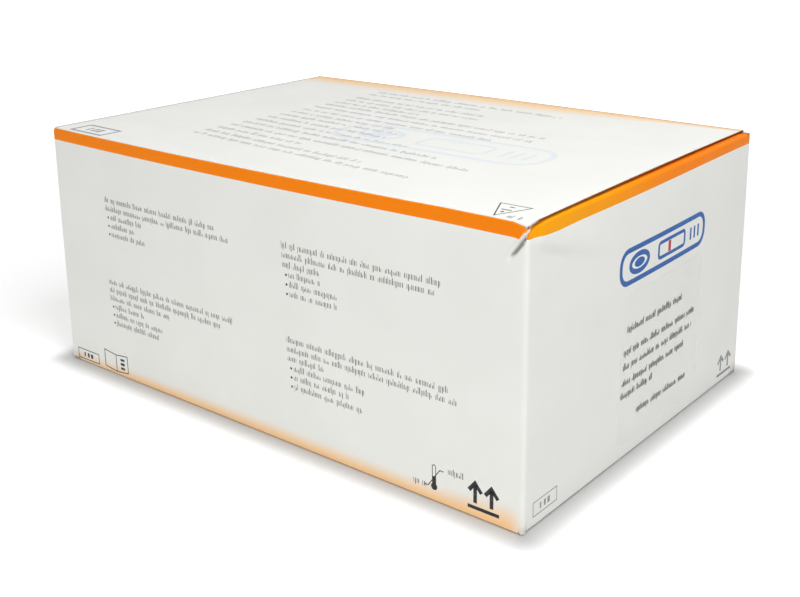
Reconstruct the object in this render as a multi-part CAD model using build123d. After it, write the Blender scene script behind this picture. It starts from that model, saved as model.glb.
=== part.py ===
from build123d import *
import math
import os

# A folding carton for a rapid-test kit, closed, standing on its bottom.
# The long side runs along X, the front long wall faces -Y, and Z is up.
# The origin is the middle of the carton's underside. All sizes are in millimetres.

# Carton, outside
carton_length = 190.0
carton_width = 130.0
carton_height = 83.0

# Board
board = 0.5                 # thickness of the coated board
wall_fold = 1.2             # outside radius of the four upright folds
dust_fold = 1.0             # outside radius where a dust flap bends off its end wall
bottom_fold = 0.8           # outside radius where the walls bend under the carton

# Lid and its tuck flap
lid_gap = 0.3               # air between the lid and what it closes on
lid_side_inset = 1.2        # how far the lid's cut edges stand in from the end walls
lid_fold = 0.8              # outside radius of the fold between lid and tuck flap
front_drop = 0.2            # the front wall's cut edge, below the lid's top face
tuck_depth = 18.0           # how far the tuck flap reaches down behind the front wall
tuck_lean = 6.0             # degrees that the tuck flap leans in, so that it swings clear
tuck_side_gap = 1.6         # from each side of the tuck flap to the end wall's inside
tuck_corner = 9.0           # radius of the tuck flap's two free corners

# Dust flaps, folded in from the end walls under the lid
dust_length = 46.0
dust_fold_gap = 1.9         # from the ends of each flap's fold to the long walls' outside
dust_front_gap = 4.5        # from a flap's front edge to the front wall's outside
dust_back_taper = 9.0       # how much a flap narrows on its back side
dust_shoulder = 0.6         # full width beside the fold, before the front edge steps in
dust_step = 3.0             # run of the slanted step behind that shoulder
dust_corner = 6.0           # radius of a flap's two free corners

# Glue tab, inside the back wall at the left end
tab_width = 14.0
tab_end_gap = 4.0           # from the tab's ends to the bottom flaps and to the back wall's top
tab_taper = 5.0

# Bottom: two long flaps outside with hooked edges, two end flaps glued on them inside
bottom_seam = 0.6           # gap between the long flaps' edges
bottom_hook = 12.0          # how far each hook passes the middle line
bottom_hook_run = 14.0      # length of the slanted stretch between the hooks
bottom_side_gap = 1.5       # from the long flaps' ends to the end walls' outside
end_flap_length = 60.0
end_flap_taper = 10.0
end_flap_side_gap = 1.5     # from the end flaps' sides to the long walls' outside

# Sealed pouches, standing in a row like cards
pouch_count = 25
pouch_gap = 0.6             # air between two pouches
pouch_film = 0.4            # thickness of the sealed margin
pouch_margin = 7.0          # width of the sealed margin
pouch_slope = 5.0           # run of the film from the margin up onto the device
pouch_front_room = 3.8      # from the front wall's inside, which leaves the tuck flap its place
pouch_back_room = 1.4       # from the back wall's inside, which leaves the glue tab its place
pouch_head_room = 9.5       # from the pouches' top edge to the dust flaps' top face
tear_notch = 1.8
tear_notch_height = 12.0    # below the pouch's top edge

# Folded leaflet, at the left end of the row
insert_panels = 8
insert_sheet = 0.12
insert_pitch = 0.34         # from one panel to the next
insert_side_room = 12.0     # how much narrower than a pouch
insert_top_room = 8.0       # how much lower than a pouch
row_end_room = 0.6          # at each end of the row

# Clear film label on the right end wall
label_width = 50.0
label_height = 46.0
label_film = 0.1
label_corner = 4.0
label_middle_y = 7.0
label_middle_z = 28.0

# Worked out from the above
half_length = carton_length / 2
half_width = carton_width / 2
inside_x = half_length - board
inside_y = half_width - board
dust_top = carton_height - board - lid_gap      # top face of the dust flaps
back_top = carton_height - board - lid_gap      # cut edge of the back wall, under the hinge
front_top = carton_height - front_drop          # cut edge of the front wall
hinge_y = half_width - board / 2
hinge_z = carton_height - board / 2
lid_front = -inside_y + lid_gap                 # foremost face of the lid's fold
pouch_width = 2 * inside_y - pouch_front_room - pouch_back_room
pouch_middle_y = (pouch_front_room - pouch_back_room) / 2
pouch_height = dust_top - pouch_head_room - 2 * board
insert_depth = (insert_panels - 1) * insert_pitch + insert_sheet
row_start = -inside_x + row_end_room + insert_depth
pouch_pitch = (inside_x - row_end_room - row_start) / pouch_count
pouch_body = pouch_pitch - pouch_gap            # thickness over the device
end_flap_edge = half_length - bottom_fold - end_flap_length


def upright_plane(y):
    """A sketch plane across Y: its own X is the carton's X, its own Y is up."""
    return Plane(origin=(0, y, 0), x_dir=(1, 0, 0), z_dir=(0, -1, 0))


def across_x(x):
    """A sketch plane across X: its own X is the carton's Y, its own Y is up."""
    return Plane(origin=(x, 0, 0), x_dir=(0, 1, 0), z_dir=(1, 0, 0))


def quarter_ring(radius):
    """Section of a board bent by a right angle, from its own +X round to its own +Y."""
    corner = Pos(radius / 2, radius / 2) * Rectangle(radius, radius)
    return (Circle(radius) - Circle(radius - board)) & corner


def bend_along_y(radius, low_y, high_y):
    """A quarter bend from +X up to +Z, its centre on the Y axis."""
    return extrude(upright_plane(high_y) * quarter_ring(radius), high_y - low_y)


def bend_along_x(radius, low_x, high_x):
    """A quarter bend from +Y up to +Z, its centre on the X axis."""
    return extrude(across_x(low_x) * quarter_ring(radius), high_x - low_x)


def sheet(points, low_z, rounded=(), radius=0.0):
    """A flat piece of board on z = low_z, with the listed corners of its outline rounded."""
    outline = make_face(Polyline(*points, close=True))
    if rounded:
        corners = outline.vertices().filter_by(lambda v: near_any(v, rounded))
        outline = fillet(corners, radius)
    return Pos(0, 0, low_z) * extrude(outline, board)


def near_any(vertex, places):
    """True where the vertex lies on one of the places."""
    return any(math.dist((vertex.X, vertex.Y), place) < 0.001 for place in places)


def on_both_ends(piece):
    """The piece at the right end, with its twin at the left end."""
    return piece + mirror(piece, Plane.YZ)


def walls():
    """The four walls with their upright folds, each cut off at its own height."""
    outer = RectangleRounded(carton_length, carton_width, wall_fold)
    inner = RectangleRounded(2 * inside_x, 2 * inside_y, wall_fold - board)
    tube = Pos(0, 0, bottom_fold) * extrude(outer - inner, front_top - bottom_fold)
    above = (Align.CENTER, Align.CENTER, Align.MIN)
    below = (Align.CENTER, Align.CENTER, Align.MAX)
    for side in (-1, 1):
        x = side * half_length
        tube -= Pos(x, 0, dust_top - dust_fold) * Box(2 * wall_fold, carton_width, carton_height, align=above)
        tube -= Pos(x, 0, board + bottom_fold) * Box(2 * wall_fold, carton_width, carton_height, align=below)
    return tube - Pos(0, half_width, back_top) * Box(carton_length, carton_width, carton_height, align=above)


def dust_flaps():
    """The flaps that fold in from both end walls and lie just under the lid."""
    fold_x = half_length - dust_fold
    fold_y = half_width - dust_fold_gap
    front_y = -half_width + dust_front_gap
    tip_x = fold_x - dust_length
    shoulder_x = fold_x - dust_shoulder
    tips = [(tip_x, front_y), (tip_x, fold_y - dust_back_taper)]
    points = [(fold_x, -fold_y), (shoulder_x, -fold_y), (shoulder_x - dust_step, front_y), *tips, (fold_x, fold_y)]
    flap = sheet(points, dust_top - board, tips, dust_corner)
    flap += Pos(fold_x, 0, dust_top - dust_fold) * bend_along_y(dust_fold, -fold_y, fold_y)
    return on_both_ends(flap)


def glue_tab():
    """The strip that joins the left end wall to the inside of the back wall."""
    low = 2 * board + tab_end_gap
    high = back_top - tab_end_gap
    near = -inside_x + wall_fold - board
    far = near + tab_width
    points = [(near, low), (far, low + tab_taper), (far, high - tab_taper), (near, high)]
    outline = make_face(Polyline(*points, close=True))
    return extrude(upright_plane(inside_y) * outline, board)


def long_bottom_flap(side):
    """One long bottom flap; side is -1 for the front wall's and 1 for the back wall's."""
    reach = half_length - bottom_side_gap
    fold_y = side * (half_width - bottom_fold)
    seam = side * bottom_seam / 2
    run = bottom_hook_run / 2
    points = [(-reach, fold_y), (-reach, bottom_hook + seam), (-run, bottom_hook + seam)]
    points += [(run, seam - bottom_hook), (reach, seam - bottom_hook), (reach, fold_y)]
    bend = Pos(0, half_width - bottom_fold, bottom_fold) * bottom_bend(reach)
    if side < 0:
        bend = mirror(bend, Plane.XZ)
    return sheet(points, 0) + bend


def bottom_bend(reach):
    """The quarter bend from the back wall down to its bottom flap."""
    return mirror(bend_along_x(bottom_fold, -reach, reach), Plane.XY)


def end_bottom_flaps():
    """The two end flaps, which lie on the long flaps inside the carton."""
    fold_x = half_length - bottom_fold
    fold_y = half_width - end_flap_side_gap
    tips = [(end_flap_edge, end_flap_taper - fold_y), (end_flap_edge, fold_y - end_flap_taper)]
    flap = sheet([(fold_x, -fold_y), *tips, (fold_x, fold_y)], board)
    bend = mirror(bend_along_y(bottom_fold, -fold_y, fold_y), Plane.XY)
    return on_both_ends(flap + Pos(fold_x, 0, board + bottom_fold) * bend)


def carton_body():
    """Everything of the folded sheet that stays put when the lid opens."""
    body = walls() + dust_flaps() + glue_tab()
    return body + long_bottom_flap(-1) + long_bottom_flap(1) + end_bottom_flaps()


def lid_section():
    """The lid from the side: hinge nose, panel, fold, and the tuck flap leaning in."""
    fold_y = lid_front + lid_fold
    fold_z = carton_height - lid_fold
    turn = 90 + tuck_lean
    top = Line((hinge_y, carton_height), (fold_y, carton_height))
    outer = CenterArc((fold_y, fold_z), lid_fold, 90, turn)
    length = (tuck_depth - lid_fold) / math.cos(math.radians(tuck_lean))
    front = Line(outer @ 1, outer @ 1 + (outer % 1) * length)
    inner = CenterArc((fold_y, fold_z), lid_fold - board, 90, turn)
    back = Line(inner @ 1, inner @ 1 + (inner % 1) * length)
    tip = Line(front @ 1, back @ 1)
    under = Line(inner @ 0, (hinge_y, carton_height - board))
    nose = CenterArc((hinge_y, hinge_z), board / 2, -90, 180)
    return make_face([top, outer, front, tip, back, inner, under, nose])


def lid():
    """The top panel and its tuck flap, the flap's free corners rounded."""
    panel_x = half_length - lid_side_inset
    tuck_x = inside_x - tuck_side_gap
    fold_z = carton_height - lid_fold
    bent_strip = extrude(across_x(-panel_x) * lid_section(), 2 * panel_x)
    rise = tuck_depth + tuck_corner
    low_z = carton_height - tuck_depth
    flap_view = Pos(0, low_z + rise / 2) * RectangleRounded(2 * tuck_x, rise, tuck_corner)
    flap_view -= Pos(0, fold_z + rise / 2) * Rectangle(2 * panel_x, rise)
    panel_view = Pos(0, fold_z + lid_fold / 2) * Rectangle(2 * panel_x, lid_fold)
    front_view = extrude(upright_plane(half_width) * (flap_view + panel_view), carton_width)
    return bent_strip & front_view


def raised_part():
    """The film drawn over the device on both faces, with slopes down to the margin on all four sides."""
    from_above = raised_outline(pouch_width / 2 - pouch_margin)
    from_front = raised_outline(pouch_height / 2 - pouch_margin)
    tall_prism = Pos(0, 0, -pouch_height / 2) * extrude(from_above, pouch_height)
    wide_prism = extrude(upright_plane(pouch_width / 2) * from_front, pouch_width)
    return tall_prism & wide_prism


def raised_outline(reach):
    """One outline of the raised part: thick in the middle, thin as the margin at -reach and reach."""
    thin = pouch_film / 2
    thick = pouch_body / 2
    shoulder = reach - pouch_slope
    quarter = [(thin, reach), (thick, shoulder)]
    points = quarter + [(x, -y) for x, y in reversed(quarter)]
    points += [(-x, -y) for x, y in quarter] + [(-x, y) for x, y in reversed(quarter)]
    return make_face(Polyline(*points, close=True))


def pouch():
    """A sealed pouch standing on its long edge, its middle at the origin."""
    margin = Rectangle(pouch_width, pouch_height)
    for side in (-1, 1):
        place = Pos(side * pouch_width / 2, pouch_height / 2 - tear_notch_height)
        margin -= place * Rot(0, 0, 45) * Rectangle(tear_notch, tear_notch)
    return extrude(across_x(-pouch_film / 2) * margin, pouch_film) + raised_part()


def floor_under(x):
    """Height of the floor under a pouch: one board between the end flaps, two on them."""
    return board if abs(x) + pouch_film / 2 < end_flap_edge else 2 * board


def pouches():
    """The row of pouches, each with its own name."""
    one = pouch()
    row = {}
    for number in range(pouch_count):
        x = row_start + (number + 0.5) * pouch_pitch
        row[f"pouch_{number + 1:02d}"] = Pos(x, pouch_middle_y, floor_under(x) + pouch_height / 2) * one
    return row


def package_insert():
    """The leaflet, folded to and fro and standing on edge beside the pouches."""
    width = pouch_width - insert_side_room
    height = pouch_height - insert_top_room
    straight = width - insert_pitch - insert_sheet
    section = Rectangle(insert_sheet, straight)
    for fold in range(1, insert_panels):
        section += Pos(fold * insert_pitch, 0) * Rectangle(insert_sheet, straight)
        end = 1 if fold % 2 else -1
        section += Pos((fold - 0.5) * insert_pitch, end * straight / 2) * half_ring(end)
    start = -inside_x + row_end_room + insert_sheet / 2
    return Pos(start, pouch_middle_y, 2 * board) * extrude(section, height)


def half_ring(end):
    """The turn between two panels of the leaflet, bulging towards end."""
    outer = (insert_pitch + insert_sheet) / 2
    inner = (insert_pitch - insert_sheet) / 2
    keep = Pos(0, end * outer / 2) * Rectangle(2 * outer, outer)
    return (Circle(outer) - Circle(inner)) & keep


def address_label():
    """The clear film label on the right end wall."""
    outline = RectangleRounded(label_width, label_height, label_corner)
    outline = Pos(label_middle_y, label_middle_z) * outline
    return extrude(across_x(half_length) * outline, label_film)


def write(pieces):
    """One file for each piece, named as the piece."""
    os.makedirs("parts", exist_ok=True)
    for name, piece in pieces.items():
        export_step(piece, f"parts/{name}.step")


write({
    "carton_body": carton_body(),
    "lid": lid(),
    "address_label": address_label(),
    "package_insert": package_insert(),
    **pouches(),
})
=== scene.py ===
# %% [markdown]
# # A test kit carton, dressed for the camera
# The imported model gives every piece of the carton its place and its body. This lesson keeps those places
# and gives the pieces what a camera sees: board that bows a little, a crushed corner, ink, foil and soft
# light. All shapes are worked out with numpy as whole grids of points, and every pattern lies on the
# carton's own flat blank, so that it follows the board round each fold.

# %% Load the frame
import math

import bmesh
import bpy
import numpy as np
from mathutils import Matrix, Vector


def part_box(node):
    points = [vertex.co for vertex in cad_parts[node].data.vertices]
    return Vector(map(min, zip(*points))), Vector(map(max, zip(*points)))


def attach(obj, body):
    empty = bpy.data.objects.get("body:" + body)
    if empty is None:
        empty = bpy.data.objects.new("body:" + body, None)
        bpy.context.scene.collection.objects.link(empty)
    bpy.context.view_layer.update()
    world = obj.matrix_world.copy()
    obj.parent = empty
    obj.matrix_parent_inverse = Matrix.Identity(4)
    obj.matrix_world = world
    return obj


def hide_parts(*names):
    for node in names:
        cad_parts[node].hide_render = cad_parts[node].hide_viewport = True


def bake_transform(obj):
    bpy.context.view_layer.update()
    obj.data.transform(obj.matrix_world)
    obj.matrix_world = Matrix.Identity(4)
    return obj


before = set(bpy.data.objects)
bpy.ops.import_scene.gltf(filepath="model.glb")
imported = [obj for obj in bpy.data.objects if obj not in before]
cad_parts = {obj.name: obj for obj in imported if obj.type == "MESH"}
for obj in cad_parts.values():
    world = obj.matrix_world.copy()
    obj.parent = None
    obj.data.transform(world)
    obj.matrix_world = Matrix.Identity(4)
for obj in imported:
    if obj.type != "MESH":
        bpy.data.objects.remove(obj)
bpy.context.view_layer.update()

# %% [markdown]
# ## Sizes
# The outside sizes are read from the frame. The few others are the board's own: how thick it is, how
# tightly it folds, and how far each flap reaches. All of them are in metres.

# %% Sizes of the carton
MM = 0.001
_, shell_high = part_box("carton_body")
lid_low, lid_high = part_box("lid")
label_low, label_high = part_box("address_label")
HALF_X = shell_high.x
HALF_Y = shell_high.y
HEIGHT = lid_high.z
FRONT_TOP = shell_high.z            # the front wall's cut edge
LID_X = lid_high.x                  # the lid's cut edges are at -LID_X and LID_X
BOARD = 0.5 * MM
LID_GAP = 0.3 * MM
WALL_FOLD = 1.2 * MM                # outside radius of the upright folds
TOP_FOLD = 1.0 * MM                 # outside radius between an end wall and its dust flap
LID_FOLD = 0.8 * MM                 # outside radius of the lid's two folds
FOOT_FOLD = 0.8 * MM                # outside radius under the walls
FLAP_TOP = HEIGHT - BOARD - LID_GAP
BACK_TOP = FLAP_TOP
END_TOP = FLAP_TOP - TOP_FOLD       # where an end wall starts to bend into its dust flap
STRAIGHT_X = HALF_X - WALL_FOLD     # the flat stretch of a long wall ends here
STRAIGHT_Y = HALF_Y - WALL_FOLD
QUARTER = math.pi / 2
print("carton:", [round(2000 * HALF_X), round(2000 * HALF_Y), round(1000 * HEIGHT)], "mm")

# %% [markdown]
# ## The camera
# The camera stands off the carton's near corner, about 370 mm from its middle and 160 mm up. Its place
# comes from the corners and long edges that the photograph shows. The photograph is a crop from a taller
# picture, so a small lens shift keeps the upright edges as upright as they are there.

# %% Camera
CAMERA_PLACE = np.array([238.7, -287.7, 162.4]) * MM
CAMERA_AZIMUTH = math.radians(-50.64)
CAMERA_RISE = math.radians(14.93)
CAMERA_ROLL = math.radians(-0.77)
FOCAL_PIXELS = 1163.8
PICTURE_WIDTH = 800.0
SENSOR = 36.0
SHIFT_PIXELS = -110.0


def camera_axes():
    """Right, up and back: back points from the carton to the camera, and the roll turns the other two
    about it."""
    back = np.array([math.cos(CAMERA_RISE) * math.cos(CAMERA_AZIMUTH),
                     math.cos(CAMERA_RISE) * math.sin(CAMERA_AZIMUTH), math.sin(CAMERA_RISE)])
    right = np.cross([0.0, 0.0, 1.0], back)
    right /= np.linalg.norm(right)
    up = np.cross(back, right)
    c, s = math.cos(CAMERA_ROLL), math.sin(CAMERA_ROLL)
    return np.array([c * right + s * up, c * up - s * right, back])


camera = bpy.data.objects.new("camera", bpy.data.cameras.new("camera"))
bpy.context.scene.collection.objects.link(camera)
bpy.context.scene.camera = camera
camera.data.sensor_width = SENSOR
camera.data.lens = FOCAL_PIXELS / PICTURE_WIDTH * SENSOR
camera.data.shift_y = SHIFT_PIXELS / PICTURE_WIDTH
camera.data.clip_start = 0.01
stand = np.eye(4)
stand[:3, :3] = camera_axes().T
stand[:3, 3] = CAMERA_PLACE
camera.matrix_world = Matrix(stand.tolist())
print("camera lens:", round(camera.data.lens, 2), "mm")

# %% [markdown]
# ## Grids into meshes
# A sheet of board is a grid of points: one direction runs along the blank, the other up it. Several grids
# that share an edge make one folded sheet, so their doubled points are merged. The board gets its
# thickness from a Solidify modifier, which also gives the inside and the cut edges their own materials.

# %% Helpers for grids
def stops(*run):
    """Sample places along a line. Places and the steps between them take turns: from, step, to, step,
    to."""
    spans = zip(run[:-2:2], run[2::2], run[1::2])
    runs = [np.linspace(a, b, max(2, math.ceil(abs(b - a) / step - 1e-6) + 1)) for a, b, step in spans]
    return np.unique(np.concatenate(runs).round(8))


def smooth(t):
    """0 below 0, 1 above 1, and the curve 3t^2 - 2t^3 between them."""
    t = np.clip(t, 0.0, 1.0)
    return t * t * (3 - 2 * t)


def grid_faces(rows, columns, first):
    """Quads of a rows x columns grid whose points start at number first. Normals are (next row) x (next
    column)."""
    i, j = np.meshgrid(np.arange(rows - 1), np.arange(columns - 1), indexing="ij")
    corner = first + i * columns + j
    return np.stack([corner, corner + columns, corner + columns + 1, corner + 1], -1).reshape(-1, 4)


def mesh_from(name, points, faces, flat):
    """A mesh object from an (n, 3) array of points and a list of faces, with a UV map from an (n, 2)
    array."""
    mesh = bpy.data.meshes.new(name)
    mesh.from_pydata(points.tolist(), [], [list(map(int, f)) for f in faces])
    corners = np.zeros(len(mesh.loops), np.int32)
    mesh.loops.foreach_get("vertex_index", corners)
    layer = mesh.uv_layers.new(name="blank")
    layer.data.foreach_set("uv", flat[corners].astype(np.float32).ravel())
    mesh.update()
    piece = bpy.data.objects.new(name, mesh)
    bpy.context.scene.collection.objects.link(piece)
    return piece


def sheet_from(name, patches):
    """One piece from several grids. Each patch is (points, flat): (n, m, 3) places and (n, m, 2) blank
    coordinates."""
    points = np.concatenate([p.reshape(-1, 3) for p, _ in patches])
    flat = np.concatenate([f.reshape(-1, 2) for _, f in patches])
    faces, first = [], 0
    for p, _ in patches:
        faces.append(grid_faces(p.shape[0], p.shape[1], first))
        first += p.shape[0] * p.shape[1]
    piece = mesh_from(name, points, np.concatenate(faces), flat)
    weld(piece)
    piece.data.shade_smooth()
    return piece


def weld(piece, distance=0.001 * MM):
    """Merges the doubled points where grids meet."""
    work = bmesh.new()
    work.from_mesh(piece.data)
    bmesh.ops.remove_doubles(work, verts=work.verts, dist=distance)
    work.to_mesh(piece.data)
    work.free()


def thicken(piece, thickness, inside=0, rim=0):
    """Gives a sheet its thickness inwards from its face. The inside and the rim may have materials of
    their own."""
    solid = piece.modifiers.new("thickness", "SOLIDIFY")
    solid.thickness = thickness
    solid.offset = -1.0
    solid.material_offset = inside
    solid.material_offset_rim = rim
    return solid

# %% [markdown]
# ## How the board has given way
# A flat box would look like a drawing. The real one is full of pouches: its front wall bows out most
# along the free top edge, the right end bulges, and its near top corner has been knocked. Each of these
# is a smooth function of two numbers, u along the blank and v up it, and gives how far the board has
# moved outwards and upwards. Every grid that lies on a wall asks the same functions, so flaps, ink and
# label stay with the board.

# %% Bows, bulges and the crushed corner
FRONT_BOW = 1.8 * MM                # at the middle of the front wall's top edge
BACK_BOW = 0.9 * MM
LEFT_BOW = 0.6 * MM
END_BULGE = 1.3 * MM                # the right end wall, about three quarters of the way up
BOW_PEAK = 12 * MM                  # the front wall bows most this far to the left of its middle
BULGE_TOP = 0.78 * HEIGHT           # the right end bulges most at this height,
BULGE_SHIFT = 12 * MM               # and this far towards the front
U_CORNER = STRAIGHT_X + WALL_FOLD * QUARTER / 2
U_END = STRAIGHT_X + WALL_FOLD * QUARTER + STRAIGHT_Y                # middle of the right end wall
U_BACK = U_END + STRAIGHT_Y + WALL_FOLD * QUARTER + STRAIGHT_X       # middle of the back wall
U_LEFT = U_BACK + STRAIGHT_X + WALL_FOLD * QUARTER + STRAIGHT_Y      # middle of the left end wall
U_ROUND = U_LEFT + STRAIGHT_Y + WALL_FOLD * QUARTER + STRAIGHT_X     # once round the carton


def hump(u, v, at, size):
    """A bell over the blank: 1 at the point at, falling off over size in each direction."""
    return np.exp(-((u - at[0] * MM) / (size[0] * MM)) ** 2 - ((v - at[1] * MM) / (size[1] * MM)) ** 2)


def arch(t, half):
    """1 at t = 0, falling as a parabola to 0 at -half and half."""
    return np.clip(1 - (t / half) ** 2, 0.0, 1.0)


def front_arch(x):
    """The front wall's arch from end to end: its peak stands off the middle, and its right end is
    straight."""
    return arch(x + BOW_PEAK, STRAIGHT_X - BOW_PEAK)


def wall_bow(u, v):
    """Outward bow of three walls: an arch along each wall. The long walls bow more the higher up, in full
    at their top edge, and the left end wall most at half its height."""
    rise = np.clip(v / BACK_TOP, 0.0, 1.0) ** 1.3
    front = FRONT_BOW * front_arch(u) * rise
    back = BACK_BOW * arch(u - U_BACK, STRAIGHT_X) * rise
    left = LEFT_BOW * arch(u - U_LEFT, STRAIGHT_Y) * np.sin(np.pi * np.clip(v / END_TOP, 0.0, 1.0))
    return front + back + left


def end_bulge(u, v):
    """The right end: a broad swelling whose top is below the fold, so that the board leans back above
    it."""
    t = u - U_END
    along = np.clip(np.cos(np.pi * (t + BULGE_SHIFT) / (2.3 * HALF_Y)), 0.0, 1.0) * arch(t, HALF_Y) ** 0.4
    low = np.sin(QUARTER * np.clip(v / BULGE_TOP, 0.0, 1.0)) ** 2
    high = 1 - np.clip((v - BULGE_TOP) / (0.24 * HEIGHT), 0.0, 1.0) ** 2
    return END_BULGE * along * np.where(v < BULGE_TOP, low, high)


CREASE_UP = np.array([73.0, 75.0, 76.6, 77.9, 79.2, 80.2, 81.1, 81.8, 82.4]) * MM
CREASE_OUT = np.array([-5.6, -4.3, -3.1, -2.2, -1.3, -0.4, 0.7, 2.2, 4.2]) * MM
RIDGE = 0.35 * MM                   # how far the board stands out to the left of the crease
GROOVE = 1.3 * MM                   # and how deep it falls to its right
HOLLOW = 0.7 * MM                   # depth of the pressed place beside the crease's top
SOFT_FOLD = 0.8 * MM                # height of the soft fold that runs off on the end wall
SOFT_FOLD_SLOPE = 0.31
PRESSED_DOWN = 0.9 * MM
CRACK_HALF = 0.85 * MM              # half the width of the cracked strip, at its top


def crease_distance(u, v):
    """Distance from the knocked corner's crease, positive to its right, and the place along it: 0 at the
    top end, 1 at the lower end. The crease is a line on the blank, given by how far it lies from the
    upright fold at each height, and the distance is measured square to it."""
    away = u - U_CORNER - np.interp(v, CREASE_UP, CREASE_OUT)
    slope = np.interp(v, CREASE_UP, np.gradient(CREASE_OUT, CREASE_UP))
    return away / np.sqrt(1 + slope ** 2), (CREASE_UP[-1] - v) / (CREASE_UP[-1] - CREASE_UP[0])


def corner_dent(u, v):
    """The knocked near top corner: outward and upward shifts. The board stands up in a ridge along the
    crease and falls into a groove to its right, and its top is pressed down. On the end wall a soft fold
    runs off from the corner, sloping down: the board faces up above it and down below it."""
    w = u - U_CORNER
    across, along = crease_distance(u, v)
    ridge = RIDGE * np.exp(-((across + 0.45 * MM) / (0.5 * MM)) ** 2)
    groove = GROOVE * np.exp(-((across - 0.6 * MM) / (0.55 * MM)) ** 2)
    outward = (ridge - groove) * (1 - smooth((along - 0.7) / 0.4))
    outward = outward - HOLLOW * hump(w, v, (2.8, 81.4), (2.4, 2.2))
    above = v - 78.4 * MM + SOFT_FOLD_SLOPE * (w - 3 * MM)
    away = np.where(above > 0, above / (8 * MM), -above / (4 * MM))
    fold_share = smooth(w / (7 * MM)) * (1 - smooth((w - 14 * MM) / (32 * MM)))
    outward = outward + SOFT_FOLD * fold_share * (1 - smooth(away))
    return outward, -PRESSED_DOWN * hump(w, v, (-0.6, 84.5), (2.2, 4.5))


def give(u, v):
    """How far the board has moved outwards and upwards at the place (u, v) of the blank."""
    outward, upward = corner_dent(u, v)
    return outward + wall_bow(u, v) + end_bulge(u, v), upward


def crack(u, v):
    """Where the print has cracked off the crease: 1 on the bare board, 0 on sound print. The strip is
    about 1.7 mm wide at the top and thins out downwards, and its edges wander a little."""
    across, along = crease_distance(u, v)
    ragged = 0.08 * MM * np.sin(u * 2300) * np.cos(v * 3100)
    width = CRACK_HALF - MM * smooth((along - 0.2) / 0.45)
    return smooth((width - np.abs(across + ragged)) / (0.3 * MM))


def crease_shade_paint(u, v):
    """Painted shade along the crease, below the stripe: a thin line in its groove, darkened in the
    colour to stand in for the groove's shadow."""
    across, along = crease_distance(u, v)
    line = smooth((0.55 * MM - np.abs(across - 0.45 * MM)) / (0.4 * MM))
    return line * smooth((along - 0.25) / 0.15) * smooth((0.95 - along) / 0.15)


print("bows:", FRONT_BOW / MM, BACK_BOW / MM, END_BULGE / MM, "mm")

# %% [markdown]
# ## The walls
# The walls are one closed strip. Walking round it, each wall is a straight run and each upright fold a
# quarter circle of eight steps. Along the strip the points stand 3 mm apart, and close together where the
# corner is knocked. Up the strip they also crowd near the top.

# %% Round the walls
COARSE = 3.0 * MM
FINE = 0.2 * MM
DENT_REACH = 15 * MM
FLAP_Y = HALF_Y - 1.4 * MM          # half the length of a dust flap's fold
LONG_FLAP_X = HALF_X - 1.5 * MM     # half the length of a long bottom flap's fold
HOOK_RUN = 7 * MM                   # the long bottom flaps' meeting line crosses over from -HOOK_RUN to here
END_FLAP_Y = HALF_Y - 1.5 * MM
FOLD_STEPS = 8
FOLD_FOOT = 0.3 * MM                # the upright folds reach almost to the floor

WALLS = [  # outward direction, direction along, distance from the middle, places along it
    ((0, -1), (1, 0), HALF_Y,
     stops(-STRAIGHT_X, COARSE, -LONG_FLAP_X, COARSE, -HOOK_RUN, HOOK_RUN / 4, HOOK_RUN, COARSE,
           STRAIGHT_X - DENT_REACH, FINE, LONG_FLAP_X, FINE, STRAIGHT_X)),
    ((1, 0), (0, 1), HALF_X,
     stops(-STRAIGHT_Y, FINE, -END_FLAP_Y, FINE, -FLAP_Y, FINE, DENT_REACH - FLAP_Y, COARSE, FLAP_Y,
           COARSE, END_FLAP_Y, COARSE, STRAIGHT_Y)),
    ((0, 1), (-1, 0), HALF_Y,
     stops(-STRAIGHT_X, COARSE, -LONG_FLAP_X, COARSE, -HOOK_RUN, HOOK_RUN / 4, HOOK_RUN, COARSE,
           LONG_FLAP_X, COARSE, STRAIGHT_X)),
    ((-1, 0), (0, -1), HALF_X,
     stops(-STRAIGHT_Y, COARSE, -END_FLAP_Y, COARSE, -FLAP_Y, COARSE, FLAP_Y, COARSE, END_FLAP_Y, COARSE,
           STRAIGHT_Y)),
]
MIDDLES = [0.0, U_END, U_BACK, U_LEFT]


def walk_round():
    """Rows of (x, y), outward (x, y), u and top height, once round the carton and back to the first
    place."""
    places, outs, us, tops = [], [], [], []
    for number, (out, along, far, ts) in enumerate(WALLS):
        out, along = np.array(out, float), np.array(along, float)
        places.append(out * far + np.outer(ts, along))
        outs.append(np.tile(out, (len(ts), 1)))
        us.append(MIDDLES[number] + ts)
        # an end wall is higher beside its dust flap's fold
        end_top = END_TOP + (BACK_TOP - END_TOP) * np.clip((np.abs(ts) - FLAP_Y) / (0.3 * MM), 0.0, 1.0)
        tops.append(end_top if number % 2 else np.full(len(ts), BACK_TOP if number else FRONT_TOP))
        turn = np.arange(1, FOLD_STEPS) / FOLD_STEPS * QUARTER
        ray = np.outer(np.cos(turn), out) + np.outer(np.sin(turn), along)
        centre = out * (far - WALL_FOLD) + along * ts[-1]
        places.append(centre + WALL_FOLD * ray)
        outs.append(ray)
        us.append(MIDDLES[number] + ts[-1] + WALL_FOLD * turn)
        tops.append(np.full(len(turn), BACK_TOP))
    ring = [np.concatenate(part) for part in (places, outs, us, tops)]
    return [np.concatenate([part, part[:1]]) for part in ring]


def set_off(place, out, u, v, height, lift=0.0):
    """Points at the walk's places and the given heights, moved as the board has given way, and lifted off
    it."""
    outward, upward = give(u, v)
    flat_place = place + out * (outward + lift)[..., None]
    return np.concatenate([flat_place, (height + upward)[..., None]], -1)


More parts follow.
